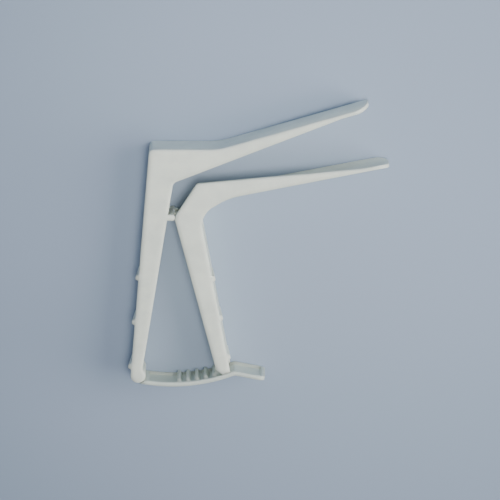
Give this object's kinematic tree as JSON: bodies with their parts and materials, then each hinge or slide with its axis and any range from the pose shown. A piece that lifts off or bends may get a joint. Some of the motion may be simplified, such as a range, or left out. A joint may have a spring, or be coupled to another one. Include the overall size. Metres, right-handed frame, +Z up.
{
  "type": "bivalve speculum",
  "caption": "Plastic bivalve speculum: two hinged levers with trough blades and ribbed handles, held open by a toothed strap that a thumb tab releases.",
  "frame": {"origin": "centre of the bounding box in plan, on the face that it lies on", "axes": "+X along the blades towards their tips, +Y from the handles to the blades, +Z up out of the flat side walls, along the hinge axis"},
  "size_m": [0.1256, 0.1388, 0.02],
  "materials": {
    "valve_plastic": "satin",
    "strap_plastic": "satin",
    "pin_plastic": "satin"
  },
  "bodies": {
    "upper": {"upper_valve": "valve_plastic", "hinge_pin": "pin_plastic"},
    "lower": {"lower_valve": "valve_plastic"},
    "strap": {"ratchet_strap": "strap_plastic"}
  },
  "joints": [
    {"name": "valve_hinge", "type": "hinge", "parent": "upper", "child": "lower", "pos_m": [-0.04147, 0.01407, 0], "axis": [0, 0, 1], "range_deg": [-15.5, 13]},
    {"name": "strap_release", "type": "hinge", "parent": "upper", "child": "strap", "pos_m": [-0.05804, -0.0642, 0], "axis": [0, 0, 1], "range_deg": [-8, 0], "stiffness_Nm_per_rad": 0.05}
  ]
}
